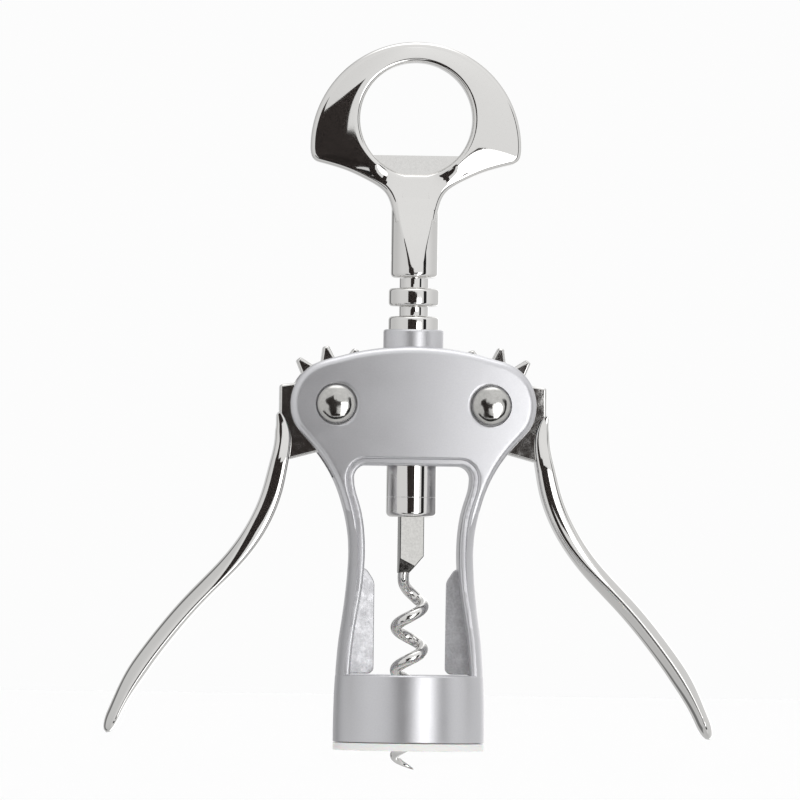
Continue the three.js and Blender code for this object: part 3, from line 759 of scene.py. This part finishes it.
class CORKSCREW_OT_spindle(Operator):
    """The rack of round rings, the ferrule under it, the rod inside it and the pin that locks the handle"""
    bl_idname = "corkscrew.spindle"
    bl_label = "Rack and spindle"

    def execute(self, context):
        sizes = context.scene.corkscrew_spindle
        ring, groove, pitch = (v / MM for v in (sizes.ring_radius, sizes.groove_radius, sizes.ring_pitch))
        middle = PIVOT[2] + pitch / 3
        profile = [(2.6, 112.5), (groove, 112.5)]
        for k in range(4, -3, -1):
            z = middle + k * pitch
            if k < 4:
                profile += [(ring, z + 1.2, 0.85), (groove, z + 1.2, 0.25)]
            profile += [(groove, z - 1.2, 0.25), (ring, z - 1.2, 0.85)]
        profile += [(ring, SEAM_Z + 0.02, 0.05), (2.6, SEAM_Z + 0.02)]
        sleeve = turned("rack_rings", rounded(profile[::-1], 6), 128)
        settle(sleeve, "rack", "chrome", finish("turned steel, chrome"), "rack_sleeve")
        foot = turned("ferrule_skin", rounded([
            (0, 55.65), (ring, 55.65, 1.15), (ring, SEAM_Z - 0.02, 0.05), (0, SEAM_Z - 0.02),
        ], 8), 128)
        hole = turned("hole", [(0, 58), (2.6, 58), (2.6, 62), (0, 62)], 64)
        slot = blade(0.12, 0.1)
        carve(foot, "DIFFERENCE", hole, slot)
        settle(foot, "screw", "chrome", finish("turned steel, chrome"), "worm_ferrule")
        rod = turned("rod_skin", rounded([(0, 58.3), (2.3, 58.3, 0.3), (2.3, 124, 0.4), (0, 124)]), 64)
        carve(rod, "DIFFERENCE", crosswise("drill", [(0, -9), (1.2, -9), (1.2, 9), (0, 9)], 32))
        settle(rod, "screw", "steel", finish("turned steel, chrome"), "drive_rod")
        pin = crosswise("head_pin_skin", rounded([(0, -5.5), (1.0, -5.5, 0.25), (1.0, 5.5, 0.25), (0, 5.5)]))
        settle(pin, "screw", "steel", finish("turned steel, chrome"), "head_pin")
        return {"FINISHED"}


def blade(margin, extra):
    """The worm's flat shank with its slanted foot, turned a little; with a margin, the slot that holds it."""
    half, bottom, top = 2.95 + margin, 42.3, 57.7 + extra
    outline = [(-half, bottom), (-0.5, bottom), (half, 46.3 - margin), (half, top), (-half, top)]
    shank = plate("shank", [outline], 1.4 + margin, [(0.22, 0.22)], 3)
    slant = Vector((-0.139, -0.951, -0.275)).normalized()  # the way the slanted foot faces
    slab_depth = 3
    slab = plate("slab", [[(-9, -9), (9, -9), (9, 9), (-9, 9)]], slab_depth, [(0.01, 0.01)], 1)
    slab.data.transform(Matrix.Translation((Vector((0, -1.4, 44.4)) + slant * slab_depth) * MM)
                        @ slant.to_track_quat("-Y", "Z").to_matrix().to_4x4())
    carve(shank, "DIFFERENCE", slab)
    shank.data.transform(Matrix.Rotation(SHANK_TURN, 4, "Z"))
    return shank


class CORKSCREW_OT_worm(Operator):
    """The worm: wire wound right-handed from the flat shank down to a ground point"""
    bl_idname = "corkscrew.worm"
    bl_label = "Worm"

    def execute(self, context):
        sizes = context.scene.corkscrew_spindle
        wire, coil, pitch = (v / MM for v in (sizes.wire_radius, sizes.coil_radius, sizes.coil_pitch))
        # Heights: the coil's top, its tip, where it lies farthest left, and where it enters the shank.
        top, tip, far_left, entry = 36.0, -4.5, 29.4, 42.4
        turns, lead = (top - tip) / pitch, 0.36
        steps, sides = 420, 24
        below = np.linspace(turns, -lead, steps)
        angle = math.pi + math.tau * (top - far_left) / pitch - math.tau * below
        rise = np.clip(-below, 0, None) / lead
        radius = coil - 1.6 * smoothstep(rise, 0, 1)
        line = np.c_[
            np.cos(angle) * radius,
            np.sin(angle) * radius * (1 - smoothstep(rise, 0.3, 1)),
            top - np.clip(below, 0, None) * pitch + rise * (entry - top),
        ]
        along = np.gradient(line, axis=0)
        along /= np.linalg.norm(along, axis=1)[:, None]
        up = np.array([0, 0, 1.0]) - along * along[:, 2:3]
        up /= np.linalg.norm(up, axis=1)[:, None]
        across = np.cross(along, up)
        run = np.linspace(0, 1, steps)
        point, ground = 0.12, 0.15  # the point's radius, and the share of the wire that is ground to it
        thickness = point + (wire - point) * np.sin(np.clip(run / ground, 0, 1) * math.pi / 2) ** 0.8
        turn = np.linspace(0, math.tau, sides, endpoint=False)
        rings = [
            p + r * (np.cos(turn)[:, None] * u + np.sin(turn)[:, None] * a)
            for p, r, u, a in zip(line, thickness, up, across)
        ]
        worm = skin("worm_skin", [[line[0] - along[0] * 0.1], *rings, [line[-1] + along[-1] * 0.8]])
        settle(worm, "screw", "steel", finish("steel wire, tumbled bright"), "worm", sharp=40)
        shank = blade(0, 0)
        shank.name = "flat_shank"
        settle(shank, "screw", "steel", finish("steel, pressed flat"), "worm", sharp=10)
        return {"FINISHED"}


# ---------------------------------------------------------------- the levers and their pivots


def gear_outline(tip, teeth):
    """The gear plate about its pivot, for the left lever: round the teeth, then back along the plate."""
    points = []
    first, step, root = -50, 30, 10.3  # the teeth's angles in degrees, and the radius at their roots
    for k in range(teeth):
        angle = math.radians(first + step * k)
        turn = np.array([[math.cos(angle), math.sin(angle)], [-math.sin(angle), math.cos(angle)]])
        tooth = [(root, -1.8), (tip - 0.2, -0.72), (tip, -0.5), (tip, 0.5), (tip - 0.2, 0.72), (root, 1.8)]
        points.append(np.array(tooth) @ turn)
    back = rounded([
        (-9.9, 4.9), (-13.3, 4.5, 0.7), (-13.3, -8.0), (-11.6, -13.2), (-10.6, -13.25), (-4.5, -11.6),
        (2.0, -10.6),
    ])
    return np.vstack([*points, back])


# The left arm's middle line about its pivot, in mm, and its share of the thickness by share of the length.
ARM_LINE = [
    (-13.6, -2.0), (-12.95, -3.6), (-12.45, -6.0), (-12.35, -9.0), (-13.3, -14.7), (-14.6, -20.5),
    (-17.5, -28.0), (-24.0, -37.7), (-33.0, -47.3), (-41.1, -57.0), (-47.8, -66.7),
    (-52.5, -76.3), (-53.55, -78.9),
]
ARM_SWELL = [
    (0.0, 0.05), (0.018, 0.45), (0.043, 0.68), (0.067, 0.81), (0.133, 0.915), (0.2, 1.0), (0.35, 1.0),
    (0.6, 1.0), (0.8, 1.0), (1.0, 1.0),
]


def lever_arm(half_width, half_thickness):
    """The arm: a bar with arched faces that leaves the plate as a leaf and becomes a lens with two ridges.

    Each ridge ends in a narrow land. The left arm's front ridge lies near its inner side; the back one is
    central."""
    steps, sides = 190, 64
    root_half_width, tip_share, arch_radius = 4.2, 0.055, 7.4
    # The lens: the softness of its sides, the front ridge's shift and the height of both ridges, as shares.
    softness, ridge_offset, land = 0.3, 0.42, 0.94
    line = smooth_curve(ARM_LINE, steps)
    along = np.gradient(line, axis=0)
    along /= np.linalg.norm(along, axis=1)[:, None]
    out = np.c_[along[:, 1], -along[:, 0]]
    run = np.linspace(0, 1, steps + 1)
    swell = smooth_curve(ARM_SWELL, 400)
    end = np.sqrt(1 - np.clip((run - 1 + tip_share) / tip_share, 0, 1) ** 2) * 0.97 + 0.03
    width = (root_half_width + (half_width - root_half_width) * smoothstep(run, 0.0, 0.16)) * end
    slimmer = 1 - 0.24 * smoothstep(run, 0.8, 0.95)
    thickness = half_thickness * np.interp(run, swell[:, 0], swell[:, 1]) * end * slimmer
    ridge = smoothstep(run, 0.3, 0.54)
    turn = np.linspace(0, math.tau, sides, endpoint=False)
    turn = turn - 0.9 * np.sin(4 * turn) / 4  # spreads the points more evenly over the faces
    c, s = np.cos(turn), np.sin(turn)
    flat_c, flat_s = (np.sign(v) * np.abs(v) ** (2 / 7) for v in (c, s))
    blade_c = c * np.sqrt(c * c + softness**2) / math.sqrt(1 + softness**2)
    rings = []
    for p, n, w, t, sharp in zip(line, out, width, thickness, ridge):
        bar = flat_c * t, flat_s * (w - (flat_c * t) ** 2 / (2 * arch_radius))
        crest = np.sign(s) * np.minimum(np.abs(s) * w, land * w - 0.25 * (blade_c * t - 0.25) ** 2)
        lens = (blade_c - ridge_offset * np.clip(-s, 0, None) ** 2) * t, crest
        across, deep = (a + (b - a) * sharp for a, b in zip(bar, lens))
        rings.append(np.c_[p[0] + n[0] * across, deep, p[1] + n[1] * across])
    return skin("arm", [[(line[0][0], 0, line[0][1])], *rings[1:-1], [(line[-1][0], 0, line[-1][1])]])


class CORKSCREW_OT_levers(Operator):
    """The two levers, each a toothed plate and a long curved arm; the right one is the left turned round"""
    bl_idname = "corkscrew.levers"
    bl_label = "Levers"

    def execute(self, context):
        sizes = context.scene.corkscrew_lever
        for side, turn in (("left", 0.0), ("right", math.pi)):
            gear = plate(
                f"gear_plate_{side}", [gear_outline(sizes.tip_radius / MM, sizes.tooth_count)],
                sizes.plate_half_depth / MM, [(0.55, 0.6)], 4,
            )
            lying = Matrix.Rotation(math.pi / 2, 4, "X")
            bore = turned("bore", [(0, -9), (3.1, -9), (3.1, 9), (0, 9)], 64, lying)
            carve(gear, "DIFFERENCE", bore)
            arm = lever_arm(sizes.arm_half_width / MM, sizes.arm_half_thickness / MM)
            arm.name = f"lever_arm_{side}"
            x = -PIVOT[0] if side == "left" else PIVOT[0]
            place = Matrix.Translation((x * MM, 0, PIVOT[2] * MM)) @ Matrix.Rotation(turn, 4, "Z")
            for piece in (gear, arm):
                piece.data.transform(place)
            lever = f"lever_{side}"  # the body, and the node that the two pieces stand for
            settle(arm, lever, "chrome", finish("zinc casting, bright chrome"), lever, sharp=48)
            settle(gear, lever, "chrome", finish("zinc casting, unbuffed chrome"), lever)
        return {"FINISHED"}


class CORKSCREW_OT_pivots(Operator):
    """The domed pivot pins, their rear caps and the thrust washers beside the levers"""
    bl_idname = "corkscrew.pivots"
    bl_label = "Pivots"

    def execute(self, context):
        sizes = context.scene.corkscrew_frame
        head_radius, head_depth, dome_rise = 4.6, 1.55, 1.9
        seat = crowned_face(sizes) - head_depth
        washer = (sizes.slot_half_depth + context.scene.corkscrew_lever.plate_half_depth) / MM / 2
        dome = [
            (head_radius * math.cos(a), seat + head_depth + dome_rise * math.sin(a))
            for a in np.radians(np.linspace(0, 90, 16))
        ]
        head = [(head_radius, seat, 0.15)]
        for side, x in (("left", -PIVOT[0]), ("right", PIVOT[0])):
            pin = turned(f"pin_skin_{side}", rounded([
                (0, -seat - 0.9), (1.7, -seat - 0.9), (1.7, 0.3 - seat), (2.8, 0.3 - seat), (2.8, seat),
                *head, *dome,
            ]), 96, facing(-1, x))
            settle(pin, "frame", "chrome", finish("formed rivet, chrome"), f"pivot_pin_{side}")
            cap = turned(f"cap_skin_{side}", rounded([
                (0, seat + 1.2), (2.0, seat + 1.2), (2.0, seat), *head, *dome,
            ]), 96, facing(1, x))
            settle(cap, "frame", "chrome", finish("formed rivet, chrome"), f"pin_cap_{side}")
            for face, sign in (("front", -1), ("back", 1)):
                ring = turned(f"washer_skin_{side}_{face}", rounded([
                    (3.1, washer - 0.25, 0.1), (6.5, washer - 0.25, 0.12), (6.5, washer + 0.25, 0.12),
                    (3.1, washer + 0.25, 0.1),
                ], 3), 72, facing(sign, x))
                settle(ring, "frame", "white_nylon", finish("nylon, moulded"), f"washer_{side}_{face}")
        return {"FINISHED"}


# ---------------------------------------------------------------- stage, panel and main


def matte(name, base, socket, value):
    """A plain material for the stage, with one more socket set."""
    material = bpy.data.materials.new(name)
    material.use_nodes = True
    shader = material.node_tree.nodes["Principled BSDF"]
    shader.inputs["Base Color"].default_value = (*base, 1.0)
    shader.inputs[socket].default_value = value
    return material


class CORKSCREW_OT_stage(Operator):
    """A pale floor, a soft white tent with a dark opening and a bright panel, and the camera"""
    bl_idname = "corkscrew.stage"
    bl_label = "Stage"

    def execute(self, context):
        scene = context.scene
        scene.view_settings.view_transform = "Standard"
        bm = bmesh.new()
        bmesh.ops.create_circle(bm, cap_ends=True, radius=6.0, segments=96)
        bmesh.ops.translate(bm, verts=bm.verts, vec=(0, 0, FLOOR_Z * MM))
        mesh = bpy.data.meshes.new("floor")
        bm.to_mesh(mesh)
        bm.free()
        floor = new_object("floor", mesh)
        mesh.materials.append(matte("matte white paper", scene.corkscrew_finishes.floor, "Roughness", 0.9))
        floor.visible_glossy = False
        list(self.reflectors())
        self.studio(scene)
        self.camera(scene)
        return {"FINISHED"}

    def reflectors(self):
        """The tent's dark opening ahead of the tool, and the bright panel to the right of it."""
        away = TENT_DISTANCE * MM
        bm = bmesh.new()
        corners = [
            (-150, -250), (95, -250), (95, -160),                 # below, for the shank's slanted foot
            (-12, -130), (-12, 37), (70, 44),                     # ahead of the bell and the legs
            (90, 60), (90, 124), (5, 128), (0, 158), (-52, 158),  # ahead of the housing
            (-72, 244), (-105, 240), (-150, 226), (-230, 195),    # the leaf that the head mirrors
            (-230, 100), (-150, 60),
        ]
        bm.faces.new([bm.verts.new((x * MM, -away, z * MM)) for x, z in corners])
        mesh = bpy.data.meshes.new("opening")
        bm.to_mesh(mesh)
        bm.free()
        opening = new_object("opening", mesh)
        mesh.materials.append(matte("black velvet", (0.04, 0.034, 0.032), "Specular IOR Level", 0.0))
        opening.visible_camera = False
        lamp = bpy.data.lights.new("panel", "AREA")
        lamp.shape = "RECTANGLE"
        lamp.size, lamp.size_y = 160 * MM, 365 * MM
        radiance = 2.2
        lamp.energy = radiance * math.pi * lamp.size * lamp.size_y
        panel = new_object("panel", lamp)
        azimuth = math.radians(21.5)
        panel.location = (math.sin(azimuth) * away, -math.cos(azimuth) * away, -67.5 * MM)
        panel.rotation_euler = (math.pi / 2, 0, azimuth)
        panel.visible_camera = False
        return opening, panel

    def studio(self, scene):
        """Light by direction: a pale tent, bright overhead, with a dark seam in front and a gap behind."""
        world = bpy.data.worlds.new("studio")
        scene.world = world
        world.use_nodes = True
        tree = world.node_tree
        tree.nodes.clear()
        way = add(tree, "ShaderNodeSeparateXYZ", None,
                  {"Vector": add(tree, "ShaderNodeTexCoord").outputs["Generated"]}).outputs
        ahead = add(tree, "ShaderNodeMath", {"operation": "MULTIPLY", 1: -1.0}, {0: way["Y"]}).outputs[0]
        azimuth = add(tree, "ShaderNodeMath", {"operation": "ARCTAN2"}, {0: way["X"], 1: ahead}).outputs[0]
        rise = add(tree, "ShaderNodeMath", {"operation": "ARCSINE"}, {0: way["Z"]}).outputs[0]
        off_ahead = add(tree, "ShaderNodeMath", {"operation": "ARCCOSINE"}, {0: ahead}).outputs[0]
        clock = add(tree, "ShaderNodeMath", {"operation": "ARCTAN2"}, {0: way["Z"], 1: way["X"]}).outputs[0]
        aside = add(tree, "ShaderNodeMath", {"operation": "ABSOLUTE"}, {0: azimuth}).outputs[0]

        def soft_step(low, high, start, end):
            """The settings of a soft change from one angle to another, in degrees."""
            return {
                "interpolation_type": "SMOOTHSTEP", "From Min": math.radians(low),
                "From Max": math.radians(high), "To Min": start, "To Max": end,
            }

        def between(value, low, high, edge):
            """One between two angles in degrees and nothing outside them, with soft ends."""
            opens = add(tree, "ShaderNodeMapRange", soft_step(low, low + edge, 0, 1), {"Value": value})
            closes = add(tree, "ShaderNodeMapRange", soft_step(high - edge, high, 1, 0), {"Value": value})
            ends = {0: opens.outputs["Result"], 1: closes.outputs["Result"]}
            return add(tree, "ShaderNodeMath", {"operation": "MULTIPLY"}, ends).outputs[0]

        walls = add(tree, "ShaderNodeMapRange", soft_step(-60, 60, 0.80, 0.98), {"Value": rise})
        roof = add(tree, "ShaderNodeMapRange", soft_step(55, 80, 0.0, 1.5), {"Value": rise})
        both = {0: walls.outputs["Result"], 1: roof.outputs["Result"]}
        light = add(tree, "ShaderNodeMath", {"operation": "ADD"}, both).outputs[0]
        for value, change in (
            (aside, soft_step(55, 110, 1.0, 0.82)),    # dimmer behind
            (azimuth, soft_step(-25, 5, 0.88, 1.0)),   # and on the left
        ):
            share = add(tree, "ShaderNodeMapRange", change, {"Value": value}).outputs["Result"]
            light = add(tree, "ShaderNodeMath", {"operation": "MULTIPLY"}, {0: light, 1: share}).outputs[0]
        for across, along, level in (
            # a dark seam in the tent that runs round the front from the right to the lower left
            (between(off_ahead, 42, 59, 2), between(clock, -155, 30, 10), 0.02),
            # the gap behind, on the left
            (between(azimuth, -152, -132, 4), between(rise, -30, 45, 4), 0.2),
            # a second panel, behind
            (between(azimuth, 150, 172, 4), between(rise, -40, 60, 4), 1.4),
        ):
            patch = add(tree, "ShaderNodeMath", {"operation": "MULTIPLY"}, {0: across, 1: along}).outputs[0]
            light = add(
                tree, "ShaderNodeMix", {"data_type": "FLOAT", 3: level}, {0: patch, 2: light}
            ).outputs[0]
        seen = add(tree, "ShaderNodeLightPath").outputs["Is Camera Ray"]
        shown = add(tree, "ShaderNodeMix", {"data_type": "FLOAT", 3: BACKDROP}, {0: seen, 2: light})
        background = add(
            tree, "ShaderNodeBackground", {"Color": (1, 1, 1, 1)}, {"Strength": shown.outputs[0]}
        )
        add(tree, "ShaderNodeOutputWorld", None, {"Surface": background.outputs[0]})

    def camera(self, scene):
        """Almost square on, from far away, a little to the left of the tool's middle and below it."""
        distance, azimuth, roll = 3.0, math.radians(-2.5), math.radians(0.75)
        view_width, drop = 190.7 * MM, 43.5 * MM
        lens = bpy.data.cameras.new("camera")
        lens.sensor_width = 36.0
        lens.lens = lens.sensor_width * distance / view_width
        camera = new_object("camera", lens)
        aim = Vector((-3.0, 0, 83.5)) * MM
        offset = Vector((math.sin(azimuth) * distance, -math.cos(azimuth) * distance, -drop))
        camera.location = aim + offset
        turn = (aim - camera.location).to_track_quat("-Z", "Y").to_matrix() @ Matrix.Rotation(roll, 3, "Z")
        camera.rotation_euler = turn.to_euler()
        scene.camera = camera


class CORKSCREW_PT_panel(Panel):
    bl_idname = "CORKSCREW_PT_panel"
    bl_label = "Wing corkscrew"
    bl_space_type = "VIEW_3D"
    bl_region_type = "UI"
    bl_category = "Corkscrew"

    def draw(self, context):
        layout = self.layout
        for name, group in GROUPS.items():
            box = layout.box()
            box.label(text=group.__name__)
            for key in group.__annotations__:
                box.prop(getattr(context.scene, name), key)
        for operator in OPERATORS:
            layout.operator(operator.bl_idname)


GROUPS = {
    "corkscrew_frame": FrameSizes,
    "corkscrew_spindle": SpindleSizes,
    "corkscrew_lever": LeverSizes,
    "corkscrew_handle": HandleSizes,
    "corkscrew_finishes": Finishes,
}
OPERATORS = (
    CORKSCREW_OT_stage, CORKSCREW_OT_frame_casting, CORKSCREW_OT_bell_liner, CORKSCREW_OT_opener_handle,
    CORKSCREW_OT_spindle, CORKSCREW_OT_worm, CORKSCREW_OT_levers, CORKSCREW_OT_pivots,
)
CLASSES = (*GROUPS.values(), *OPERATORS, CORKSCREW_PT_panel)


def register():
    for item in CLASSES:
        bpy.utils.register_class(item)
    for name, group in GROUPS.items():
        setattr(bpy.types.Scene, name, PointerProperty(type=group))


def unregister():
    for name in GROUPS:
        delattr(bpy.types.Scene, name)
    for item in reversed(CLASSES):
        bpy.utils.unregister_class(item)


def main():
    register()
    for operator in OPERATORS:
        getattr(bpy.ops.corkscrew, operator.bl_idname.split(".")[1])()


if __name__ == "__main__":
    main()
